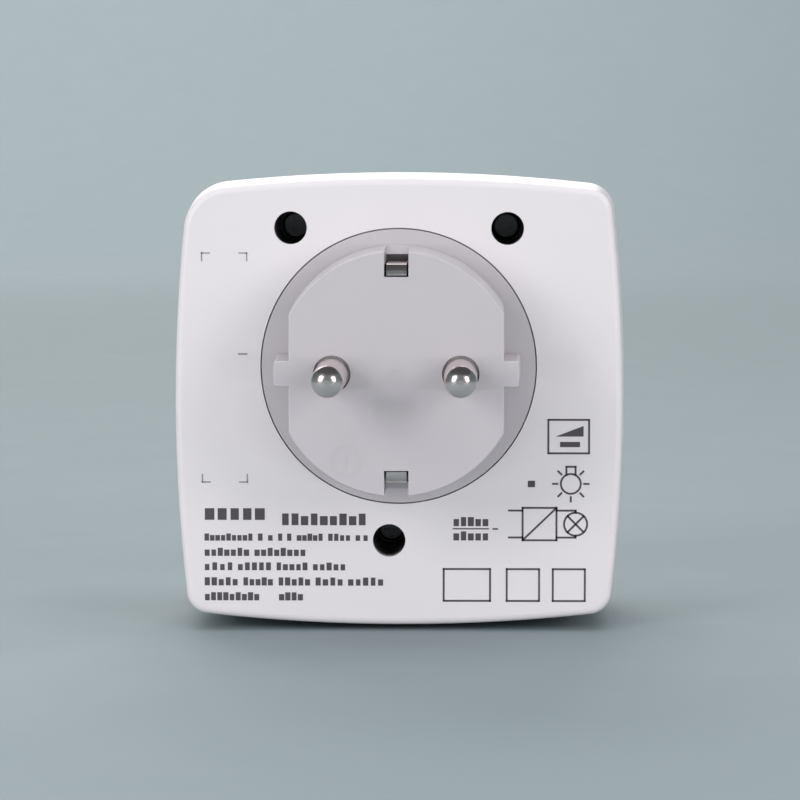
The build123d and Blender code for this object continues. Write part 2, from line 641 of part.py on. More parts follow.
def make_earth_link():
    rear = Y_STRAP_BACK - LINK_THICKNESS / 2
    front = Y_BRACKET_BACK + LINK_THICKNESS / 2
    points = [(rear, LINK_FOOT), (rear, 0), (front, 0), (front, -LINK_FOOT)]
    link = strip_in_yz(points, LINK_BEND, LINK_THICKNESS, LINK_WIDTH)
    for z, y in ((EARTH_RIVET_REACH, rear), (-EARTH_RIVET_REACH, front)):
        link -= rod(EARTH_RIVET_RADIUS, 0, z, y - LINK_THICKNESS, y + LINK_THICKNESS)
    return link


def make_earth_rivets():
    head = EARTH_RIVET_HEAD_THICKNESS
    spans = ((EARTH_RIVET_REACH, Y_STRAP_BACK - LINK_THICKNESS, Y_STRAP_BACK + STRAP_THICKNESS),
             (-EARTH_RIVET_REACH, Y_BRACKET_BACK - BRACKET_THICKNESS, Y_BRACKET_BACK + LINK_THICKNESS))
    rivets = []
    for z, y_low, y_high in spans:
        rivet = rod(EARTH_RIVET_RADIUS, 0, z, y_low, y_high)
        rivet += rod(EARTH_RIVET_HEAD, 0, z, y_high, y_high + head)
        if z > 0:
            rivet += rod(EARTH_RIVET_HEAD, 0, z, y_low - head, y_low)
        rivets.append(rivet)
    return rivets


def recess_profile():
    rounded = Circle(RECESS_RADIUS) & Rectangle(RECESS_FLAT * 2, RECESS_RADIUS * 2)
    return rounded + Rectangle(RECESS_GROOVE_REACH * 2, RECESS_GROOVE_WIDTH)


def make_socket_insert():
    cup = rod(CUP_RADIUS, 0, 0, Y_FRONT, Y_FLOOR_BACK)
    rim = rod(RIM_RADIUS, 0, 0, Y_FRONT, Y_FRONT + CUP_RIM_THICKNESS)
    cup += fillet(edges_at(rim, Y_FRONT), CUP_RIM_ROUND)
    for angle in CUP_LUG_ANGLES:
        reach = CUP_RADIUS + CUP_LUG_REACH
        lug = block((CUP_RADIUS - CUP_WALL / 2, reach), (Y_FRONT_IN, Y_FRONT_IN + CUP_LUG_HEIGHT),
                    around(0, CUP_LUG_WIDTH))
        cup += Rot(0, angle, 0) * lug
    cup -= prism(recess_profile(), Y_FRONT - OVERRUN, Y_FLOOR)
    arm = BRACKET_THICKNESS / 2 + EARTH_SLOT_CLEARANCE
    floor = (Y_FLOOR - OVERRUN, Y_FLOOR_BACK + OVERRUN)
    for side in (-1, 1):
        cup -= rod(HOLE_RADIUS, side * PIN_X, 0, *floor)
        slot_z = sorted((side * (BRACKET_ARM - arm), side * (BRACKET_ARM + arm)))
        cup -= block(around(0, BRACKET_WIDTH + EARTH_SLOT_CLEARANCE), floor, slot_z)
    mouths = cup.edges().filter_by(GeomType.CIRCLE).filter_by_position(Axis.Y, Y_FLOOR, Y_FLOOR)
    mouths = [edge for edge in mouths if abs(edge.radius - HOLE_RADIUS) < HOLE_CHAMFER]
    return chamfer(mouths, HOLE_CHAMFER)


def make_socket_contact(side):
    x = side * PIN_X
    front = Y_COVER_BACK + FIT_GAP
    tube = rod(CONTACT_RADIUS, x, 0, front, Y_BOARD)
    tube -= rod(CONTACT_BORE, x, 0, front - OVERRUN, Y_BOARD + OVERRUN)
    mouth = [edge for edge in edges_at(tube, front) if edge.radius < CONTACT_RADIUS]
    tube = chamfer(mouth, CONTACT_MOUTH)
    slot = block(around(x, CONTACT_RADIUS * 2 + OVERRUN), (front - OVERRUN, Y_BOARD - CONTACT_COLLAR),
                 around(0, CONTACT_SLOT))
    tube -= slot
    tube += block(around(x, CONTACT_LEG_WIDTH), (Y_BOARD - CONTACT_COLLAR, Y_LEAD_END),
                  (-CONTACT_RADIUS, -CONTACT_BORE - CONTACT_CLEARANCE))
    return tube - rod(CONTACT_BORE, x, 0, Y_BOARD - CONTACT_COLLAR - OVERRUN, Y_LEAD_END + OVERRUN)


def make_shutter():
    bar = Rectangle(SHUTTER_REACH * 2, SHUTTER_WIDTH) & Circle(SHUTTER_REACH)
    shutter = prism(bar + Circle(SHUTTER_HUB), Y_SHUTTER, Y_SHUTTER_BACK)
    shutter -= rod(PIVOT_RADIUS + PIVOT_GAP, 0, 0, Y_SHUTTER - OVERRUN, Y_SHUTTER_BACK + OVERRUN)
    half = SHUTTER_WIDTH / 2
    corners = [(Y_SHUTTER, -half), (Y_SHUTTER, half), (Y_SHUTTER + SHUTTER_RAMP, half)]
    ramp = extrude(Plane.YZ * make_face(Polyline(*corners, close=True)), HOLE_RADIUS, both=True)
    shutter -= Pos(PIN_X, 0, 0) * ramp
    shutter -= Rot(0, 180, 0) * Pos(PIN_X, 0, 0) * ramp
    peg_x = spiral_point(SPRING_TURNS * 2) + SPRING_STRIP / 2 + SPRING_GAP + SHUTTER_PEG_RADIUS
    return shutter + rod(SHUTTER_PEG_RADIUS, peg_x, 0, Y_SHUTTER_BACK, Y_SPRING + SPRING_HEIGHT)


def spiral_point(half_turn):
    start = PIVOT_RADIUS + SPRING_STRIP / 2 + SPRING_GAP
    reach = start + SPRING_PITCH / 2 * half_turn
    return reach if half_turn % 2 == 0 else -reach


def make_shutter_spring():
    arcs = Curve()
    for half_turn in range(SPRING_TURNS * 2):
        first, last = spiral_point(half_turn), spiral_point(half_turn + 1)
        start_angle = 0 if first > 0 else 180
        arcs += CenterArc(((first + last) / 2, 0), abs(first - last) / 2, start_angle, 180)
    return prism(trace(arcs, SPRING_STRIP), Y_SPRING, Y_SPRING + SPRING_HEIGHT)


def make_shutter_cover():
    cover = rod(COVER_RADIUS, 0, 0, Y_FLOOR_BACK, Y_COVER_BACK)
    cover -= rod(COVER_RADIUS - COVER_WALL, 0, 0, Y_FLOOR_BACK - OVERRUN, Y_COVER)
    cover += rod(PIVOT_RADIUS, 0, 0, Y_FLOOR_BACK, Y_COVER)
    for side in (-1, 1):
        cover -= rod(HOLE_RADIUS + SEAT_GAP, side * PIN_X, 0, Y_COVER - OVERRUN, Y_COVER_BACK + OVERRUN)
    return cover


def make_chassis():
    plate = Pos(0, -BODY_DROP) * body_outline(PLATE_INSET) - Circle(CUP_RADIUS + PLATE_CUP_GAP)
    slot = Rectangle(CONTROL_WIDTH + SEAT_GAP * 2, CONTROL_THICKNESS + SEAT_GAP * 2)
    plate -= Pos(0, (Z_CONTROL_TOP + Z_CONTROL_BOTTOM) / 2) * slot
    chassis = prism(plate, Y_PLATE_FRONT, Y_WELL_END)
    for x, z in WELLS:
        chassis += rod(TOWER_RADIUS, x, z, Y_PLATE_FRONT, Y_BOARD)
        chassis += rod(NECK_RADIUS, x, z, Y_BOARD, Y_BACK_IN)
        chassis -= rod(WELL_RADIUS, x, z, Y_WELL_END, Y_BACK_IN + OVERRUN)
        chassis -= rod(SCREW_RADIUS + SCREW_GAP, x, z, Y_PLATE_FRONT - OVERRUN, Y_WELL_END + OVERRUN)
    return chassis


def make_case_screws():
    screws = []
    for x, z in WELLS:
        top = Y_WELL_END + SCREW_HEAD_HEIGHT
        head = rod(SCREW_HEAD_RADIUS, x, z, Y_WELL_END, top)
        head = fillet(edges_at(head, top), SCREW_HEAD_ROUND)
        for size in ((SCREW_SLOT_LENGTH, SCREW_SLOT_WIDTH), (SCREW_SLOT_WIDTH, SCREW_SLOT_LENGTH)):
            head -= block(around(x, size[0]), (top - SCREW_SLOT_DEPTH, top + OVERRUN), around(z, size[1]))
        screws.append(head + rod(SCREW_RADIUS, x, z, Y_WELL_END - SCREW_LENGTH, Y_WELL_END))
    return screws


def board_cuts():
    far, near = Y_BOARD - OVERRUN, Y_BOARD_BACK + OVERRUN
    cuts = [rod(NECK_RADIUS + FIT_GAP, x, z, far, near) for x, z in WELLS]
    gap = LEAD_HOLE_GAP
    leg_z = (-CONTACT_RADIUS - gap, -CONTACT_BORE)
    link_width = LINK_WIDTH + SEAT_GAP * 2
    link_height = LINK_THICKNESS + SEAT_GAP * 2
    cuts.append(block(around(0, link_width), (far, near), around(0, link_height)))
    for side in (-1, 1):
        x = side * PIN_X
        cuts.append(rod(BOARD_HOLE_RADIUS, x, 0, far, near))
        cuts.append(block(around(x, CONTACT_LEG_WIDTH + gap * 2), (far, near), leg_z))
        bus_z = around(BUS_RISE, BUS_THICKNESS + gap * 2)
        cuts.append(block(around(x, BUS_WIDTH + gap * 2), (far, near), bus_z))
    for x, z in all_leads():
        cuts.append(rod(LEAD_RADIUS + gap, x, z, far, near))
    for x in header_places():
        hole = HEADER_WIRE + gap * 2
        cuts.append(block(around(x, hole), (far, near), around(Z_CONTROL_TOP + HEADER_RISE, hole)))
    for x, z in transistor_legs():
        hole = TRANSISTOR_LEG + gap * 2
        cuts.append(block(around(x, hole), (far, near), around(z, hole)))
    for x_range in spreader_tabs():
        wide = (x_range[0] - gap, x_range[1] + gap)
        tab_z = (-SPREADER_DROP - SPREADER_SIZE[2] - gap, -SPREADER_DROP + gap)
        cuts.append(block(wide, (far, near), tab_z))
    return cuts


def make_power_board():
    board = prism(Pos(0, -BODY_DROP) * body_outline(BOARD_INSET), Y_BOARD, Y_BOARD_BACK)
    for cut in board_cuts():
        board -= cut
    return board


def make_control_board():
    board = block(around(0, CONTROL_WIDTH), (Y_CONTROL_FRONT, Y_CONTROL_BACK),
                  (Z_CONTROL_BOTTOM, Z_CONTROL_TOP))
    hole = HEADER_WIRE + LEAD_HOLE_GAP * 2
    for x in header_places():
        board -= block(around(x, hole), around(Y_BOARD - HEADER_RUN, hole),
                       (Z_CONTROL_BOTTOM - OVERRUN, Z_CONTROL_TOP + OVERRUN))
    return board - Pos(-ANTENNA_START, antenna_y(), Z_CONTROL_TOP) * Cylinder(
        ANTENNA_RADIUS + LEAD_HOLE_GAP, CONTROL_THICKNESS * 2 + OVERRUN)


def header_places():
    middle = (HEADER_PINS - 1) / 2
    return [HEADER_PITCH * (i - middle) for i in range(HEADER_PINS)]


def header_wire(x, size):
    height = Z_CONTROL_TOP + HEADER_RISE
    bend = Y_BOARD - HEADER_RUN
    run = block(around(x, size), (bend - size / 2, Y_LEAD_END), around(height, size))
    drop = block(around(x, size), around(bend, size), (Z_CONTROL_BOTTOM - SOLDER_STUB, height))
    return run + drop


def make_header_pins():
    return [header_wire(x, HEADER_WIRE) for x in header_places()]


def make_header_body():
    length = HEADER_PITCH * HEADER_PINS
    rear = Y_BOARD - (HEADER_RUN - HEADER_BODY) / 2
    body = block(around(0, length), (rear - HEADER_BODY, rear),
                 (Z_CONTROL_TOP, Z_CONTROL_TOP + HEADER_BODY))
    for x in header_places():
        body -= header_wire(x, HEADER_WIRE)
    return body


def radio_ranges(margin=0.0):
    x, setback = RADIO_PLACE
    width, length = RADIO_SIZE
    rear = Y_BOARD + setback
    return around(x, width - margin * 2), (rear - length + margin, rear - margin)


def make_radio_module():
    return block(*radio_ranges(), (Z_CONTROL_TOP, Z_CONTROL_TOP + RADIO_BOARD))


def make_radio_shield():
    base = Z_CONTROL_TOP + RADIO_BOARD
    can = block(*radio_ranges(SHIELD_MARGIN), (base, base + SHIELD_HEIGHT))
    inner = radio_ranges(SHIELD_MARGIN + SHIELD_WALL)
    return can - block(*inner, (base - OVERRUN, base + SHIELD_HEIGHT - SHIELD_WALL))


def antenna_y():
    return Y_CONTROL_FRONT + ANTENNA_SETBACK


def make_antenna_wire():
    y = antenna_y()
    points = [(-ANTENNA_START, y, Z_CONTROL_BOTTOM - SOLDER_STUB),
              (-ANTENNA_START, y, Z_CONTROL_TOP + ANTENNA_RISE),
              (-ANTENNA_OUT, y, Z_CONTROL_TOP + ANTENNA_RISE * 2), (-ANTENNA_OUT, y, ANTENNA_TOP)]
    path = FilletPolyline(*points, radius=ANTENNA_BEND)
    start = Plane(origin=points[0], z_dir=(0, 0, 1))
    return sweep(start * Circle(ANTENNA_RADIUS), path=path)


def make_tact_switch():
    switch = block(around(0, SWITCH_WIDTH), (Y_SWITCH_FRONT, Y_SWITCH_FRONT + SWITCH_DEPTH),
                   (Z_CONTROL_TOP, Z_CONTROL_TOP + SWITCH_HEIGHT))
    depth = PLUNGER_LENGTH - PLUNGER_PROUD + BUTTON_TRAVEL + SEAT_GAP
    return switch - rod(PLUNGER_RADIUS + PLUNGER_GAP, 0, -BUTTON_DROP, Y_SWITCH_FRONT - OVERRUN,
                        Y_SWITCH_FRONT + depth)


def make_tact_plunger():
    return rod(PLUNGER_RADIUS, 0, -BUTTON_DROP, Y_PLUNGER_TIP, Y_PLUNGER_TIP + PLUNGER_LENGTH)


def make_button_cap():
    cap = prism(pill(BUTTON_WIDTH, BUTTON_HEIGHT), Y_FRONT - BUTTON_PROUD, Y_FRONT_IN + SEAT_GAP)
    cap = fillet(edges_at(cap, Y_FRONT - BUTTON_PROUD), BUTTON_ROUND)
    flange = pill(BUTTON_WIDTH + BUTTON_FLANGE * 2, BUTTON_HEIGHT + BUTTON_FLANGE * 2)
    flange_back = Y_FRONT_IN + SEAT_GAP + BUTTON_FLANGE_THICKNESS
    cap += prism(flange, Y_FRONT_IN + SEAT_GAP, flange_back)
    cap += rod(BUTTON_STEM_RADIUS, 0, 0, flange_back, Y_PLUNGER_TIP - FIT_GAP)
    return Pos(0, 0, -BUTTON_DROP) * cap


def make_light_guide():
    guide = rod(GUIDE_ROD_RADIUS, 0, 0, Y_FRONT, Y_CONTROL_FRONT - SEAT_GAP)
    guide = fillet(edges_at(guide, Y_FRONT), GUIDE_ROD_RADIUS / 2)
    flange_back = Y_FRONT_IN + BUTTON_FLANGE_THICKNESS
    guide += rod(GUIDE_ROD_RADIUS + GUIDE_ROD_FLANGE, 0, 0, Y_FRONT_IN, flange_back)
    return Pos(GUIDE_ROD_PLACE, 0, -BUTTON_DROP) * guide


def make_status_led():
    width, length, height = LED_SIZE
    body = block(around(GUIDE_ROD_PLACE, width), (Y_CONTROL_FRONT, Y_CONTROL_FRONT + length),
                 (Z_CONTROL_TOP, Z_CONTROL_TOP + height))
    return fillet(edges_at(body, Y_CONTROL_FRONT).filter_by(Axis.Z), height / 4)


def make_x_capacitor():
    width, height, length = XCAP_SIZE
    x, z = XCAP_PLACE
    body = block(around(x, width), (Y_BOARD - height, Y_BOARD), around(z, length))
    body = fillet(body.edges().filter_by(Axis.Y), XCAP_ROUND)
    return body + leads(lead_places(XCAP_PLACE, XCAP_LEAD_PITCH, upright=True))


def make_bulk_capacitor():
    x, z = BULK_PLACE
    front = Y_BOARD - BULK_HEIGHT
    can = rod(BULK_RADIUS, x, z, front, Y_BOARD)
    can = fillet(edges_at(can, front), BULK_ROUND)
    groove_y = Y_BOARD - BULK_GROOVE_PLACE
    ring = rod(BULK_RADIUS + OVERRUN, x, z, groove_y - BULK_GROOVE, groove_y)
    can -= ring - rod(BULK_RADIUS - BULK_GROOVE, x, z, groove_y - OVERRUN, groove_y + OVERRUN)
    return can + leads(lead_places(BULK_PLACE, BULK_LEAD_PITCH))


def make_fuse():
    x, z = FUSE_PLACE
    front = Y_BOARD - FUSE_HEIGHT
    body = fillet(edges_at(rod(FUSE_RADIUS, x, z, front, Y_BOARD), front), FUSE_ROUND)
    return body + leads(lead_places(FUSE_PLACE, FUSE_LEAD_PITCH))


def make_varistor():
    x, z = VARISTOR_PLACE
    middle = Y_BOARD - VARISTOR_STANDOFF - VARISTOR_RADIUS
    disc = extrude(Plane.YZ * (Pos(middle, z) * Circle(VARISTOR_RADIUS)), VARISTOR_THICKNESS / 2, both=True)
    disc = Pos(x, 0, 0) * fillet(disc.edges().filter_by(GeomType.CIRCLE), VARISTOR_ROUND)
    return disc + leads(lead_places(VARISTOR_PLACE, VARISTOR_LEAD_PITCH, upright=True), y_low=middle)


def make_choke_core():
    x, z = CHOKE_PLACE
    front = Y_BOARD - CHOKE_HEIGHT
    core = rod(CHOKE_CORE_RADIUS, x, z, front, Y_BOARD)
    core += rod(CHOKE_RADIUS, x, z, front, front + CHOKE_FLANGE)
    core += rod(CHOKE_RADIUS, x, z, Y_BOARD - CHOKE_FLANGE, Y_BOARD)
    return core + leads(lead_places(CHOKE_PLACE, CHOKE_LEAD_PITCH))


def make_choke_winding():
    x, z = CHOKE_PLACE
    y_low, y_high = Y_BOARD - CHOKE_HEIGHT + CHOKE_FLANGE, Y_BOARD - CHOKE_FLANGE
    winding = rod(CHOKE_RADIUS - CHOKE_WIRE_MARGIN, x, z, y_low, y_high)
    return winding - rod(CHOKE_CORE_RADIUS, x, z, y_low - OVERRUN, y_high + OVERRUN)


def transformer_ranges(shrink_y=0.0, shrink_z=0.0, grow_x=0.0):
    width, height, length = TRANSFORMER_SIZE
    x, z = TRANSFORMER_PLACE
    return (around(x, width + grow_x * 2), (Y_BOARD - height + shrink_y, Y_BOARD - shrink_y),
            around(z, length - shrink_z * 2))


def make_transformer_core():
    core = block(*transformer_ranges(shrink_y=TRANSFORMER_CENTRE_POST / 2))
    window = block(*transformer_ranges(*TRANSFORMER_WINDOW, grow_x=OVERRUN))
    x, z = TRANSFORMER_PLACE
    post = block(around(x, TRANSFORMER_SIZE[0]), transformer_ranges()[1],
                 around(z, TRANSFORMER_CENTRE_POST * 2))
    return core - (window - post)


def make_transformer_coil():
    shrink_y, shrink_z = (wall + COIL_MARGIN for wall in TRANSFORMER_WINDOW)
    coil = block(*transformer_ranges(shrink_y, shrink_z, COIL_MARGIN + COIL_WALL))
    x, z = TRANSFORMER_PLACE
    hole_width = TRANSFORMER_SIZE[0] + COIL_MARGIN * 2
    hole_height = (TRANSFORMER_CENTRE_POST + COIL_MARGIN) * 2
    coil -= block(around(x, hole_width), transformer_ranges()[1], around(z, hole_height))
    return coil + leads(coil_lead_places(), y_low=Y_BOARD - shrink_y)


def coil_lead_places():
    x, z = TRANSFORMER_PLACE
    half = (TRANSFORMER_SIZE[0] + COIL_WALL) / 2 + COIL_MARGIN
    reach = TRANSFORMER_CENTRE_POST
    return [(x + i * half, z + j * reach) for i in (-1, 1) for j in (-1, 1)]


def all_leads():
    places = lead_places(XCAP_PLACE, XCAP_LEAD_PITCH, upright=True)
    places += lead_places(BULK_PLACE, BULK_LEAD_PITCH) + lead_places(FUSE_PLACE, FUSE_LEAD_PITCH)
    places += lead_places(VARISTOR_PLACE, VARISTOR_LEAD_PITCH, upright=True)
    return places + lead_places(CHOKE_PLACE, CHOKE_LEAD_PITCH) + coil_lead_places()


def spreader_tabs():
    return [around(SPREADER_PLACE[0] + side * SPREADER_TAB_REACH, SPREADER_TAB_WIDTH) for side in (-1, 1)]


def make_heat_spreader():
    width, length, thickness = SPREADER_SIZE
    x, setback = SPREADER_PLACE
    rear = Y_BOARD + setback
    z_range = (-SPREADER_DROP - thickness, -SPREADER_DROP)
    plate = block(around(x, width), (rear - length, rear), z_range)
    for x_range in spreader_tabs():
        plate += block(x_range, (rear, Y_LEAD_END), z_range)
    return plate


def make_thermal_pad():
    width, length, _ = SPREADER_SIZE
    x, setback = SPREADER_PLACE
    rear = Y_BOARD + setback - PAD_THICKNESS
    return block(around(x, width - PAD_THICKNESS * 2), (rear - length + PAD_THICKNESS * 2, rear),
                 (-SPREADER_DROP, -SPREADER_DROP + PAD_THICKNESS))


def transistor_legs():
    middle = (TRANSISTOR_LEG_COUNT - 1) / 2
    height = -SPREADER_DROP + PAD_THICKNESS + TRANSISTOR_SIZE[2] / 2
    centres = [SPREADER_PLACE[0] + side * TRANSISTOR_SPREAD for side in (-1, 1)]
    return [(x + TRANSISTOR_LEG_PITCH * (i - middle), height)
            for x in centres for i in range(TRANSISTOR_LEG_COUNT)]


def make_dimmer_transistors():
    width, length, thickness = TRANSISTOR_SIZE
    base = -SPREADER_DROP + PAD_THICKNESS
    rear = Y_BOARD + SPREADER_PLACE[1] - TRANSISTOR_LIFT
    places = transistor_legs()
    transistors = []
    for index, side in enumerate((-1, 1)):
        x = SPREADER_PLACE[0] + side * TRANSISTOR_SPREAD
        body = block(around(x, width), (rear - length, rear), (base, base + thickness))
        first = index * TRANSISTOR_LEG_COUNT
        for leg_x, leg_z in places[first:first + TRANSISTOR_LEG_COUNT]:
            body += block(around(leg_x, TRANSISTOR_LEG), (rear, Y_LEAD_END), around(leg_z, TRANSISTOR_LEG))
        transistors.append(body)
    return transistors


def make_power_chips():
    return [block(around(x, width), (Y_BOARD - CHIP_THICKNESS, Y_BOARD), around(z, height))
            for width, height, x, z in POWER_CHIPS]


def make_control_chips():
    chips = []
    for width, length, x, gap in CONTROL_CHIPS:
        front = Y_PLATE_FRONT + gap - length if gap < 0 else Y_WELL_END + gap
        chips.append(block(around(x, width), (front, front + length),
                           (Z_CONTROL_TOP, Z_CONTROL_TOP + CHIP_THICKNESS)))
    return chips


PIECES = {
    "rear_shell": make_rear_shell,
    "front_shell": make_front_shell,
    "plug_insert": make_plug_insert,
    "pin_carrier": make_pin_carrier,
    "pin_line": lambda: make_pin(1),
    "pin_neutral": lambda: make_pin(-1),
    "bus_line": lambda: make_bus(1),
    "bus_neutral": lambda: make_bus(-1),
    "plug_earth_strap": make_plug_earth_strap,
    "earth_link": make_earth_link,
    "earth_rivets": make_earth_rivets,
    "socket_insert": make_socket_insert,
    "socket_earth_bracket": make_socket_earth_bracket,
    "socket_contact_load": lambda: make_socket_contact(1),
    "socket_contact_neutral": lambda: make_socket_contact(-1),
    "shutter": make_shutter,
    "shutter_spring": make_shutter_spring,
    "shutter_cover": make_shutter_cover,
    "chassis": make_chassis,
    "case_screws": make_case_screws,
    "power_board": make_power_board,
    "control_board": make_control_board,
    "header_body": make_header_body,
    "header_pins": make_header_pins,
    "radio_module": make_radio_module,
    "radio_shield": make_radio_shield,
    "antenna_wire": make_antenna_wire,
    "tact_switch": make_tact_switch,
    "tact_plunger": make_tact_plunger,
    "button_cap": make_button_cap,
    "light_guide": make_light_guide,
    "status_led": make_status_led,
    "x_capacitor": make_x_capacitor,
    "bulk_capacitor": make_bulk_capacitor,
    "fuse": make_fuse,
    "varistor": make_varistor,
    "choke_core": make_choke_core,
    "choke_winding": make_choke_winding,
    "transformer_core": make_transformer_core,
    "transformer_coil": make_transformer_coil,
    "heat_spreader": make_heat_spreader,
    "thermal_pad": make_thermal_pad,
    "dimmer_transistors": make_dimmer_transistors,
    "power_chips": make_power_chips,
    "control_chips": make_control_chips,
}

for name, make in PIECES.items():
    piece = make()
    if isinstance(piece, list):
        piece = Compound(children=piece)
    export_step(piece, f"parts/{name}.step")
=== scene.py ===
import json
import math

import bmesh
import bpy
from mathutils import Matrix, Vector


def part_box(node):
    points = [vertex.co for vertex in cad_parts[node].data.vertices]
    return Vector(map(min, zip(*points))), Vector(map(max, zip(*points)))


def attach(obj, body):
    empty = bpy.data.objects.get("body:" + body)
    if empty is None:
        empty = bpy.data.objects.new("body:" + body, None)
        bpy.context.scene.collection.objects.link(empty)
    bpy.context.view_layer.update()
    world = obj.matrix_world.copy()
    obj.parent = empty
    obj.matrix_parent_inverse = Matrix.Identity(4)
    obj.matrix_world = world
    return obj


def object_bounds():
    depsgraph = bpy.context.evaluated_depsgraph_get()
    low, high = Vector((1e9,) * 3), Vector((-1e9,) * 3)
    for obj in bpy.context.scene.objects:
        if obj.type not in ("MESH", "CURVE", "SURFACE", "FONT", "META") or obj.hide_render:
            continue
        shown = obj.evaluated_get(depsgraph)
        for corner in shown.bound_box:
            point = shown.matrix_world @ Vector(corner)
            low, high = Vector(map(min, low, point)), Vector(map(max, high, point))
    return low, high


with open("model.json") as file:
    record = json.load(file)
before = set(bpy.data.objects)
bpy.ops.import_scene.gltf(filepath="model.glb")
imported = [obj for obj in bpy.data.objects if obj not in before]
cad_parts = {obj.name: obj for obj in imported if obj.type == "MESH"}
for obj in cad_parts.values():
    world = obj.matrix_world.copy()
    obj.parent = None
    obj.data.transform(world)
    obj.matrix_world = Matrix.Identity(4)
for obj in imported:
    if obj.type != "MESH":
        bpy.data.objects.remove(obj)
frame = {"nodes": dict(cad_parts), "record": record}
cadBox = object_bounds()
nodes = frame["nodes"]
print("frame loaded,", len(nodes), "nodes")

mm = 0.001
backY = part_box("rear_shell")[1].y                  # the printed back face
floorZ = cadBox[0][2]                              # the housing stands on its bottom edge


# Camera

camera = {
    "distance": 525.94 * mm,    # from the point that it aims at
    "azimuth": 178.964,
    "elevation": 4.123,
    "focal": 160.69,
    "sensor": 36.0,
    "aim": (-0.556 * mm, 0, -3.80 * mm),
    "clip": (0.02, 20),
}


def makeCamera(s):
    a, e = math.radians(s["azimuth"]), math.radians(s["elevation"])
    away = Vector((-math.sin(a) * math.cos(e), -math.cos(a) * math.cos(e), math.sin(e)))
    data = bpy.data.cameras.new("camera")
    data.lens, data.sensor_width = s["focal"], s["sensor"]
    data.clip_start, data.clip_end = s["clip"]
    eye = bpy.data.objects.new("camera", data)
    eye.location = Vector(s["aim"]) + away * s["distance"]
    eye.rotation_euler = (-away).to_track_quat("-Z", "Y").to_euler()
    bpy.context.scene.collection.objects.link(eye)
    bpy.context.scene.camera = eye


makeCamera(camera)


# Shader helpers

def node(tree, kind, place=(0, 0), **values):
    n = tree.nodes.new(kind)
    n.location = place
    for name, value in values.items():
        setattr(n, name, value)
    return n


def newGroup(name, kind, inputs, outputs):
    tree = bpy.data.node_groups.new(name, kind)
    for label, socketKind in inputs:
        tree.interface.new_socket(label, in_out="INPUT", socket_type=socketKind)
    for label, socketKind in outputs:
        tree.interface.new_socket(label, in_out="OUTPUT", socket_type=socketKind)
    return tree, node(tree, "NodeGroupInput", (-900, 0)), node(tree, "NodeGroupOutput", (700, 0))


surfaceOutputs = [
    ("Color", "NodeSocketColor"), ("Roughness", "NodeSocketFloat"), ("Normal", "NodeSocketVector")]

mould = {
    "detail": 3,
    "driftScale": 38,           # slow tone drift, per metre
    "driftMiddle": 0.5,         # noise value that leaves the colour as it is
    "bumpDistance": 0.02 * mm,
    "roughnessSpread": 0.12,
}


def mouldGrainGroup(s):
    # fine spark-eroded texture of a moulded housing, with a slow tone drift
    tree, src, out = newGroup(
        "mouldGrain", "ShaderNodeTree",
        [("Color", "NodeSocketColor"), ("Grain Scale", "NodeSocketFloat"),
         ("Grain Depth", "NodeSocketFloat"), ("Tone Drift", "NodeSocketFloat"),
         ("Roughness", "NodeSocketFloat")], surfaceOutputs)
    link = tree.links.new
    place = node(tree, "ShaderNodeTexCoord", (-900, -300))
    grain = node(tree, "ShaderNodeTexNoise", (-600, -300))
    grain.inputs["Detail"].default_value = s["detail"]
    link(place.outputs["Object"], grain.inputs["Vector"])
    link(src.outputs["Grain Scale"], grain.inputs["Scale"])
    bump = node(tree, "ShaderNodeBump", (300, -300))
    bump.inputs["Distance"].default_value = s["bumpDistance"]
    link(src.outputs["Grain Depth"], bump.inputs["Strength"])
    link(grain.outputs["Fac"], bump.inputs["Height"])
    link(bump.outputs["Normal"], out.inputs["Normal"])
    drift = node(tree, "ShaderNodeTexNoise", (-600, 0))
    drift.inputs["Scale"].default_value = s["driftScale"]
    link(place.outputs["Object"], drift.inputs["Vector"])
    centred = node(tree, "ShaderNodeMath", (-400, 0), operation="SUBTRACT")
    centred.inputs[1].default_value = s["driftMiddle"]
    link(drift.outputs["Fac"], centred.inputs[0])
    scaled = node(tree, "ShaderNodeMath", (-200, 0), operation="MULTIPLY_ADD")
    scaled.inputs[2].default_value = 1.0
    link(centred.outputs[0], scaled.inputs[0])
    link(src.outputs["Tone Drift"], scaled.inputs[1])
    tint = node(tree, "ShaderNodeVectorMath", (0, 0), operation="SCALE")
    link(src.outputs["Color"], tint.inputs[0])
    link(scaled.outputs[0], tint.inputs["Scale"])
    link(tint.outputs["Vector"], out.inputs["Color"])
    rough = node(tree, "ShaderNodeMath", (0, -150), operation="MULTIPLY_ADD")
    rough.inputs[1].default_value = s["roughnessSpread"]
    link(grain.outputs["Fac"], rough.inputs[0])
    link(src.outputs["Roughness"], rough.inputs[2])
    link(rough.outputs[0], out.inputs["Roughness"])
    return tree


drawn = {
    "detail": 4,
    "darkShare": 0.86,          # tone in the hollows of the drawing marks
    "roughnessSpread": 0.12,
    "bumpDistance": 0.01 * mm,
}


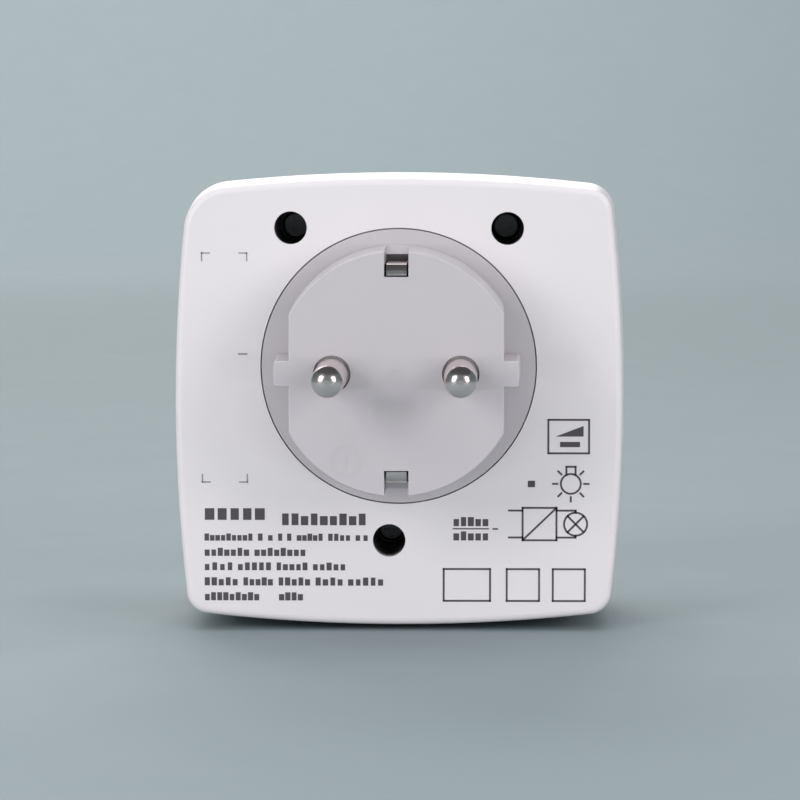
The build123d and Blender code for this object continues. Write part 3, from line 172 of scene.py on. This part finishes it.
def drawnMetalGroup(s):
    # drawing or turning marks of bare metal: noise squeezed along one direction
    tree, src, out = newGroup(
        "drawnMetal", "ShaderNodeTree",
        [("Color", "NodeSocketColor"), ("Marks", "NodeSocketVector"),
         ("Roughness", "NodeSocketFloat"), ("Scratch", "NodeSocketFloat")], surfaceOutputs)
    link = tree.links.new
    place = node(tree, "ShaderNodeTexCoord", (-900, -300))
    squeeze = node(tree, "ShaderNodeVectorMath", (-700, -300), operation="MULTIPLY")
    link(place.outputs["Object"], squeeze.inputs[0])
    link(src.outputs["Marks"], squeeze.inputs[1])
    marks = node(tree, "ShaderNodeTexNoise", (-500, -300))
    marks.inputs["Scale"].default_value = 1.0
    marks.inputs["Detail"].default_value = s["detail"]
    link(squeeze.outputs["Vector"], marks.inputs["Vector"])
    shade = node(tree, "ShaderNodeMapRange", (-250, 0))
    shade.inputs["To Min"].default_value = s["darkShare"]
    link(marks.outputs["Fac"], shade.inputs["Value"])
    tint = node(tree, "ShaderNodeVectorMath", (0, 0), operation="SCALE")
    link(src.outputs["Color"], tint.inputs[0])
    link(shade.outputs["Result"], tint.inputs["Scale"])
    link(tint.outputs["Vector"], out.inputs["Color"])
    rough = node(tree, "ShaderNodeMath", (0, -150), operation="MULTIPLY_ADD")
    rough.inputs[1].default_value = s["roughnessSpread"]
    link(marks.outputs["Fac"], rough.inputs[0])
    link(src.outputs["Roughness"], rough.inputs[2])
    link(rough.outputs[0], out.inputs["Roughness"])
    bump = node(tree, "ShaderNodeBump", (300, -300))
    bump.inputs["Distance"].default_value = s["bumpDistance"]
    link(src.outputs["Scratch"], bump.inputs["Strength"])
    link(marks.outputs["Fac"], bump.inputs["Height"])
    link(bump.outputs["Normal"], out.inputs["Normal"])
    return tree


mouldGrain = mouldGrainGroup(mould)
drawnMetal = drawnMetalGroup(drawn)


def shaderOf(material):
    return material.node_tree.nodes["Principled BSDF"]


def finish(name, group, values):
    material = bpy.data.materials.new(name)
    material.use_nodes = True
    tree = material.node_tree
    effect = node(tree, "ShaderNodeGroup", (-350, 0), node_tree=group)
    for label, value in values.items():
        effect.inputs[label].default_value = value
    for label, target in (("Color", "Base Color"), ("Roughness", "Roughness"), ("Normal", "Normal")):
        tree.links.new(effect.outputs[label], shaderOf(material).inputs[target])
    return material


def plastic(name, color, grain=4200, depth=0.10, drift=0.03, roughness=0.42):
    return finish(name, mouldGrain, {
        "Color": (*color, 1), "Grain Scale": grain, "Grain Depth": depth, "Tone Drift": drift,
        "Roughness": roughness})


def clear(name, color, ior=1.49, transmission=0.85, **values):
    material = plastic(name, color, **values)
    shader = shaderOf(material)
    shader.inputs["Transmission Weight"].default_value = transmission
    shader.inputs["IOR"].default_value = ior
    return material


def metal(name, color, roughness=0.16, marks=(900, 900, 900), scratch=0.05):
    material = finish(name, drawnMetal, {
        "Color": (*color, 1), "Marks": marks, "Roughness": roughness, "Scratch": scratch})
    shaderOf(material).inputs["Metallic"].default_value = 1.0
    return material


# Finishes, by the record's material slots. Grain and marks are counts per metre.

materials = {
    "shell_plastic": plastic("shellPlastic", (0.735, 0.690, 0.714), drift=0.02, roughness=0.34),
    "cup_plastic": plastic("cupPlastic", (0.72, 0.68, 0.70), depth=0.05, roughness=0.30),
    "plug_plastic": plastic("plugPlastic", (0.512, 0.476, 0.504), depth=0.07, roughness=0.34),
    "button_plastic": plastic("buttonPlastic", (0.71, 0.67, 0.69), depth=0.05, roughness=0.28),
    "chassis_plastic": plastic("chassisPlastic", (0.075, 0.070, 0.072), roughness=0.36),
    "shutter_plastic": plastic("shutterPlastic", (0.62, 0.61, 0.63), roughness=0.30),
    "clear_plastic": clear("clearPlastic", (0.86, 0.88, 0.88), depth=0.02, roughness=0.05),
    "board_laminate": plastic("boardLaminate", (0.012, 0.10, 0.03), grain=900, roughness=0.28),
    "chip_resin": plastic("chipResin", (0.014, 0.014, 0.016), roughness=0.50),
    "film_box": plastic("filmBox", (0.62, 0.45, 0.04), roughness=0.30),
    "can_sleeve": plastic("canSleeve", (0.012, 0.012, 0.03), roughness=0.24),
    "fuse_body": plastic("fuseBody", (0.09, 0.03, 0.015), roughness=0.35),
    "varistor_resin": plastic("varistorResin", (0.02, 0.07, 0.28), roughness=0.25),
    "ferrite": plastic("ferrite", (0.03, 0.03, 0.03), grain=2500, depth=0.4, roughness=0.55),
    "coil_tape": plastic("coilTape", (0.62, 0.40, 0.05), roughness=0.25),
    "pad_silicone": plastic("padSilicone", (0.30, 0.35, 0.42), roughness=0.6),
    "led_resin": plastic("ledResin", (0.80, 0.76, 0.55), roughness=0.2),
    "nickel": metal("nickel", (0.90, 0.79, 0.775), roughness=0.17, marks=(300, 2400, 300), scratch=0.02),
    "spring_bronze": metal("springBronze", (0.62, 0.42, 0.20), roughness=0.20),
    "tinned_brass": metal("tinnedBrass", (0.68, 0.63, 0.50), roughness=0.22),
    "zinc_steel": metal("zincSteel", (0.50, 0.51, 0.53), roughness=0.26),
    "black_steel": metal("blackSteel", (0.25, 0.24, 0.245), roughness=0.32, marks=(1800, 1800, 1800)),
    "copper_wire": metal("copperWire", (0.55, 0.22, 0.08), roughness=0.24, marks=(400, 4000, 400)),
    "aluminium_plate": metal("aluminiumPlate", (0.68, 0.69, 0.70), roughness=0.30),
}

for entry in frame["record"]["subparts"]:
    mesh = nodes[entry["node"]].data
    mesh.materials.clear()
    mesh.materials.append(materials[entry["material_slot"]])


# Print on the back face. Places are in millimetres from the plug's axis, u to the viewer's right
# and v up.

ink = {
    "thickness": 0.03,
    "color": (0.075, 0.062, 0.075),
    "paleColor": (0.30, 0.285, 0.30),
    "line": 0.30,
    "fineLine": 0.22,
    "ringSteps": 48,
    "drift": 0.25,              # unevenness of the print
    "grainDepth": 0.04,
    "roughness": 0.5,
}

frameCorners = {
    "left": -30.02, "right": -23.15, "top": 17.24, "bottom": -17.78,
    "arm": 1.15,
    "dash": (-24.36, -23.22, 1.84),
}

wedgeBox = {
    "box": (22.86, -13.30, 29.07, -8.17),
    "wedge": [(23.95, -10.74), (28.23, -10.73), (28.23, -9.11)],
    "bar": (24.64, -12.35, 27.69, -11.55),
}

lampSign = {
    "centre": (26.31, -17.98),
    "radius": 1.52,
    "cap": (25.63, 27.03, -16.60, -15.36),
    "rays": (0, 45, 135, 180, 225, 270, 315),
    "rayReach": (2.05, 2.70),
}

converterSign = {
    "box": (18.96, -26.65, 24.14, -21.67),
    "leads": (-22.09, -26.23),
    "leadStart": 16.88,
    "lamp": (27.06, -24.17),
    "lampRadius": 1.76,
}

fields = {
    "boxes": [(6.9, -36.0, 14.0, -31.1), (16.55, -36.0, 21.5, -31.1), (23.6, -36.0, 28.5, -31.1)],
    "bars": [(19.75, -18.5, 20.85, -17.5), (14.35, -25.05, 15.2, -24.8), (8.27, -25.0, 13.83, -24.8)],
}


class Print:
    def __init__(self):
        self.mesh = bmesh.new()

    def polygon(self, points):
        depth = ink["thickness"] * mm
        low = [self.mesh.verts.new((-u * mm, backY, v * mm)) for u, v in points]
        high = [self.mesh.verts.new((-u * mm, backY + depth, v * mm)) for u, v in points]
        self.mesh.faces.new(high)
        self.mesh.faces.new(low[::-1])
        for i in range(len(points)):
            j = (i + 1) % len(points)
            self.mesh.faces.new((low[i], low[j], high[j], high[i]))

    def bar(self, left, bottom, right, top):
        self.polygon([(left, bottom), (right, bottom), (right, top), (left, top)])

    def line(self, a, b, width=ink["line"]):
        along = Vector((b[0] - a[0], b[1] - a[1])).normalized() * width / 2
        side = Vector((-along.y, along.x))
        self.polygon([Vector(a) - along - side, Vector(b) + along - side,
                      Vector(b) + along + side, Vector(a) - along + side])

    def path(self, points, width=ink["line"]):
        for a, b in zip(points, points[1:]):
            self.line(a, b, width)

    def box(self, left, bottom, right, top):
        self.path([(left, bottom), (right, bottom), (right, top), (left, top), (left, bottom)])

    def ring(self, centre, radius, width=ink["line"]):
        turn = [2 * math.pi * i / ink["ringSteps"] for i in range(ink["ringSteps"] + 1)]
        inner, outer = radius - width / 2, radius + width / 2
        for a, b in zip(turn, turn[1:]):
            self.polygon([(centre[0] + r * math.cos(t), centre[1] + r * math.sin(t))
                          for r, t in ((inner, a), (outer, a), (outer, b), (inner, b))])

    def piece(self, name, color):
        bmesh.ops.recalc_face_normals(self.mesh, faces=self.mesh.faces)
        mesh = bpy.data.meshes.new(name)
        self.mesh.to_mesh(mesh)
        self.mesh.free()
        mesh.materials.append(inkFinish(name, color))
        return onHousing(name, mesh)


def inkFinish(name, color):
    return plastic(name + "Ink", color, depth=ink["grainDepth"], drift=ink["drift"],
                   roughness=ink["roughness"])


def onHousing(name, mesh):
    printed = bpy.data.objects.new(name, mesh)
    bpy.context.scene.collection.objects.link(printed)
    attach(printed, "housing")
    return printed


def printFrameCorners(s):
    p = Print()
    width = ink["fineLine"]
    for u, inward in ((s["left"], 1), (s["right"], -1)):
        for v, down in ((s["top"], -1), (s["bottom"], 1)):
            p.path([(u + inward * s["arm"], v), (u, v), (u, v + down * s["arm"])], width)
    start, end, v = s["dash"]
    p.line((start, v), (end, v))
    p.piece("framePrint", ink["paleColor"])


def printSigns():
    p = Print()
    p.box(*wedgeBox["box"])
    p.polygon(wedgeBox["wedge"])
    p.bar(*wedgeBox["bar"])
    x, y = lampSign["centre"]
    p.ring((x, y), lampSign["radius"])
    left, right, low, high = lampSign["cap"]
    p.path([(left, low), (left, high), (right, high), (right, low)])
    inner, outer = lampSign["rayReach"]
    for angle in lampSign["rays"]:
        c, s = math.cos(math.radians(angle)), math.sin(math.radians(angle))
        p.line((x + inner * c, y + inner * s), (x + outer * c, y + outer * s))
    left, bottom, right, top = converterSign["box"]
    p.box(left, bottom, right, top)
    p.line((left, bottom), (right, top))
    x, y = converterSign["lamp"]
    radius = converterSign["lampRadius"]
    cross = radius / math.sqrt(2)
    p.ring((x, y), radius)
    p.line((x - cross, y - cross), (x + cross, y + cross))
    p.line((x - cross, y + cross), (x + cross, y - cross))
    for v, side in zip(converterSign["leads"], (1, -1)):
        p.line((converterSign["leadStart"], v), (left, v))
        p.path([(right, v), (x, v), (x, y + side * radius)])
    for field in fields["boxes"]:
        p.box(*field)
    for bar in fields["bars"]:
        p.bar(*bar)
    p.piece("signPrint", ink["color"])


# Rows of plain printed bars

barRows = {
    "rows": [                   # left end, top, bottom, and the width of each bar
        (-29.8, -21.3, -23.6, (9.4,)),
        (-18.0, -22.6, -24.4, (13.1,)),
        (-29.8, -25.7, -26.8, (7.5, 2.35, 2.2, 4.1, 3.5, 2.0)),
        (-29.8, -27.9, -29.15, (6.95, 7.95)),
        (-29.8, -30.15, -31.35, (4.4, 5.2, 4.9, 5.1)),
        (-29.8, -32.45, -33.7, (5.2, 4.7, 5.0, 4.3, 5.5)),
        (-29.8, -34.75, -36.0, (8.5,)),
        (-18.4, -34.75, -36.0, (3.8,)),
        (8.3, -23.1, -24.5, (5.5,)),
        (8.3, -25.3, -26.7, (5.5,)),
    ],
    "gap": 0.70,                # between two bars of a row
    "endShare": 0.98,           # largest inset of a bar's end blocks, in half its width
    "pitchShare": 0.74,         # block to block, as a share of the row's height
    "widthShares": (0.74, 0.90),    # block width in its pitch
    "lowShare": 0.78,           # height of the shorter blocks
    "tallShare": 0.45,          # part of the blocks that are full height
    "seed": 7,
}


def barTree():
    # every edge of the mesh is one bar: it becomes a row of small plain blocks
    tree, src, out = newGroup(
        "printedBars", "GeometryNodeTree",
        [("Geometry", "NodeSocketGeometry"), ("Pitch Share", "NodeSocketFloat"),
         ("Narrow", "NodeSocketFloat"), ("Wide", "NodeSocketFloat"),
         ("Low Share", "NodeSocketFloat"), ("Tall Share", "NodeSocketFloat"),
         ("Thickness", "NodeSocketFloat"), ("Seed", "NodeSocketInt"),
         ("Ink", "NodeSocketMaterial")],
        [("Geometry", "NodeSocketGeometry")])
    link = tree.links.new
    height = node(tree, "GeometryNodeInputNamedAttribute", (-900, -400), data_type="FLOAT")
    height.inputs["Name"].default_value = "barHeight"
    pitch = node(tree, "ShaderNodeMath", (-700, -400), operation="MULTIPLY")
    link(height.outputs["Attribute"], pitch.inputs[0])
    link(src.outputs["Pitch Share"], pitch.inputs[1])
    curve = node(tree, "GeometryNodeMeshToCurve", (-700, 0))
    link(src.outputs["Geometry"], curve.inputs["Mesh"])
    steps = node(tree, "GeometryNodeResampleCurve", (-500, 0), mode="LENGTH")
    link(curve.outputs["Curve"], steps.inputs["Curve"])
    link(pitch.outputs[0], steps.inputs["Length"])
    width = node(tree, "FunctionNodeRandomValue", (-500, -400), data_type="FLOAT")
    link(src.outputs["Narrow"], width.inputs[2])
    link(src.outputs["Wide"], width.inputs[3])
    link(src.outputs["Seed"], width.inputs["Seed"])
    across = node(tree, "ShaderNodeMath", (-300, -400), operation="MULTIPLY")
    link(width.outputs[1], across.inputs[0])
    link(pitch.outputs[0], across.inputs[1])
    tall = node(tree, "FunctionNodeRandomValue", (-500, -650), data_type="BOOLEAN")
    link(src.outputs["Tall Share"], tall.inputs["Probability"])
    link(src.outputs["Seed"], tall.inputs["Seed"])
    share = node(tree, "GeometryNodeSwitch", (-300, -650), input_type="FLOAT")
    share.inputs["True"].default_value = 1.0
    link(tall.outputs[3], share.inputs["Switch"])
    link(src.outputs["Low Share"], share.inputs["False"])
    upright = node(tree, "ShaderNodeMath", (-100, -650), operation="MULTIPLY")
    link(share.outputs[0], upright.inputs[0])
    link(height.outputs["Attribute"], upright.inputs[1])
    rest = node(tree, "ShaderNodeMath", (-100, -850), operation="SUBTRACT")
    link(upright.outputs[0], rest.inputs[0])
    link(height.outputs["Attribute"], rest.inputs[1])
    drop = node(tree, "ShaderNodeMath", (50, -850), operation="MULTIPLY")
    drop.inputs[1].default_value = 1 / 2
    link(rest.outputs[0], drop.inputs[0])
    offset = node(tree, "ShaderNodeCombineXYZ", (200, -850))
    link(drop.outputs[0], offset.inputs["Z"])
    settle = node(tree, "GeometryNodeSetPosition", (-200, 0))
    link(steps.outputs["Curve"], settle.inputs["Geometry"])
    link(offset.outputs[0], settle.inputs["Offset"])
    size = node(tree, "ShaderNodeCombineXYZ", (50, -400))
    link(across.outputs[0], size.inputs["X"])
    link(src.outputs["Thickness"], size.inputs["Y"])
    link(upright.outputs[0], size.inputs["Z"])
    unit = node(tree, "GeometryNodeMeshCube", (-200, 250))
    blocks = node(tree, "GeometryNodeInstanceOnPoints", (100, 0))
    link(settle.outputs["Geometry"], blocks.inputs["Points"])
    link(unit.outputs["Mesh"], blocks.inputs["Instance"])
    link(size.outputs[0], blocks.inputs["Scale"])
    real = node(tree, "GeometryNodeRealizeInstances", (300, 0))
    coat = node(tree, "GeometryNodeSetMaterial", (500, 0))
    link(blocks.outputs["Instances"], real.inputs["Geometry"])
    link(real.outputs["Geometry"], coat.inputs["Geometry"])
    link(src.outputs["Ink"], coat.inputs["Material"])
    link(coat.outputs["Geometry"], out.inputs["Geometry"])
    return tree


def setInputs(modifier, values):
    for item in modifier.node_group.interface.items_tree:
        if item.item_type == "SOCKET" and item.in_out == "INPUT" and item.name in values:
            modifier[item.identifier] = values[item.name]


def bakedMesh(holder):
    holder.update_tag()
    bpy.context.view_layer.update()
    graph = bpy.context.evaluated_depsgraph_get()
    mesh = bpy.data.meshes.new_from_object(holder.evaluated_get(graph), depsgraph=graph)
    holder.modifiers.clear()
    return mesh


def printBars(s):
    points, edges, heights = [], [], []
    y = backY + ink["thickness"] * mm / 2
    for left, top, bottom, widths in s["rows"]:
        height = top - bottom
        margin = height * s["pitchShare"] / 2
        for width in widths:
            inset = min(margin, width / 2 * s["endShare"])
            edges.append((len(points), len(points) + 1))
            for u in (left + inset, left + width - inset):
                points.append((-u * mm, y, (top + bottom) / 2 * mm))
                heights.append(height * mm)
            left += width + s["gap"]
    lines = bpy.data.meshes.new("barLines")
    lines.from_pydata(points, edges, [])
    lines.attributes.new("barHeight", "FLOAT", "POINT").data.foreach_set("value", heights)
    holder = bpy.data.objects.new("barLines", lines)
    bpy.context.scene.collection.objects.link(holder)
    modifier = holder.modifiers.new("printedBars", "NODES")
    modifier.node_group = barTree()
    setInputs(modifier, {
        "Pitch Share": s["pitchShare"], "Narrow": s["widthShares"][0], "Wide": s["widthShares"][1],
        "Low Share": s["lowShare"], "Tall Share": s["tallShare"], "Thickness": ink["thickness"] * mm,
        "Seed": s["seed"], "Ink": inkFinish("barPrint", ink["color"])})
    mesh = bakedMesh(holder)
    mesh.name = "barPrint"
    bpy.data.objects.remove(holder)
    bpy.data.meshes.remove(lines)
    onHousing("barPrint", mesh)
    print("printed bars:", len(mesh.polygons), "faces")


printFrameCorners(frameCorners)
printSigns()
printBars(barRows)
print("print made")


# Floor that curves up into a plain backdrop, and the lamps. Lengths are in metres.

cove = {
    "color": (0.27, 0.325, 0.34),
    "grain": 60,
    "roughness": 0.75,
    "flat": 1.5,                # radius of the level floor
    "curve": 1.4,
    "top": 2.4,
    "turnSteps": 96,
    "curveSteps": 16,
}

studio = {
    "seenColor": (0.07, 0.075, 0.078),
    "ambientColor": (0.97, 0.98, 1.0),
    "ambient": 0.60,
    "lamps": {                  # watts, place, width, height, seen in gloss or not
        "key": (5.3, (0.72, 0.88, 0.40), 0.42, 0.55, True),
        "side": (3.7, (-0.72, 0.88, 0.34), 0.42, 0.50, True),
        "low": (4.0, (0.0, 1.05, -0.005), 1.10, 0.05, False),
        "top": (5.0, (0.0, -0.10, 1.05), 1.7, 0.7, False),
        "front": (26.0, (0.42, -2.20, 1.05), 1.8, 1.4, True),
        "left": (2.2, (1.10, -0.05, 0.30), 0.45, 0.50, False),
        "right": (2.8, (-1.10, -0.05, 0.30), 0.45, 0.50, False),
    },
}


def makeCove(s):
    profile = [(s["flat"], floorZ)]
    for i in range(1, s["curveSteps"] + 1):
        a = math.pi / 2 * i / s["curveSteps"]
        profile.append((s["flat"] + s["curve"] * math.sin(a), floorZ + s["curve"] * (1 - math.cos(a))))
    profile.append((s["flat"] + s["curve"], s["top"]))
    count = s["turnSteps"]
    points = [(r * math.cos(2 * math.pi * k / count), r * math.sin(2 * math.pi * k / count), z)
              for r, z in profile for k in range(count)]
    faces = [tuple(range(count))]
    for row in range(len(profile) - 1):
        for k in range(count):
            a, b = row * count + k, row * count + (k + 1) % count
            faces.append((a, a + count, b + count, b))
    mesh = bpy.data.meshes.new("cove")
    mesh.from_pydata(points, [], faces)
    mesh.shade_smooth()
    mesh.materials.append(plastic("covePaint", s["color"], grain=s["grain"], roughness=s["roughness"]))
    floor = bpy.data.objects.new("cove", mesh)
    bpy.context.scene.collection.objects.link(floor)


def makeLamps(s):
    for name, (power, place, width, height, inGloss) in s["lamps"].items():
        light = bpy.data.lights.new(name, "AREA")
        light.shape, light.size, light.size_y = "RECTANGLE", width, height
        light.energy = power
        lamp = bpy.data.objects.new(name, light)
        lamp.location = Vector(place)
        lamp.rotation_euler = (-Vector(place)).to_track_quat("-Z", "Y").to_euler()
        lamp.visible_glossy = inGloss
        bpy.context.scene.collection.objects.link(lamp)


def makeWorld(s):
    world = bpy.data.worlds.new("studio")
    world.use_nodes = True
    tree = world.node_tree
    ambient = tree.nodes["Background"]
    ambient.inputs["Color"].default_value = (*s["ambientColor"], 1)
    ambient.inputs["Strength"].default_value = s["ambient"]
    seen = node(tree, "ShaderNodeBackground", (0, -200))
    seen.inputs["Color"].default_value = (*s["seenColor"], 1)
    ray = node(tree, "ShaderNodeLightPath", (-600, 200))
    firstTwo = node(tree, "ShaderNodeMath", (-300, 200), operation="MAXIMUM")
    allThree = node(tree, "ShaderNodeMath", (-100, 200), operation="MAXIMUM")
    tree.links.new(ray.outputs["Is Camera Ray"], firstTwo.inputs[0])
    tree.links.new(ray.outputs["Is Glossy Ray"], firstTwo.inputs[1])
    tree.links.new(firstTwo.outputs[0], allThree.inputs[0])
    tree.links.new(ray.outputs["Is Transmission Ray"], allThree.inputs[1])
    mix = node(tree, "ShaderNodeMixShader", (200, 0))
    tree.links.new(allThree.outputs[0], mix.inputs["Fac"])
    tree.links.new(ambient.outputs[0], mix.inputs[1])
    tree.links.new(seen.outputs[0], mix.inputs[2])
    tree.links.new(mix.outputs[0], tree.nodes["World Output"].inputs["Surface"])
    bpy.context.scene.world = world


makeCove(cove)
makeLamps(studio)
makeWorld(studio)
bpy.context.scene.view_settings.view_transform = "Standard"
print("studio lit")
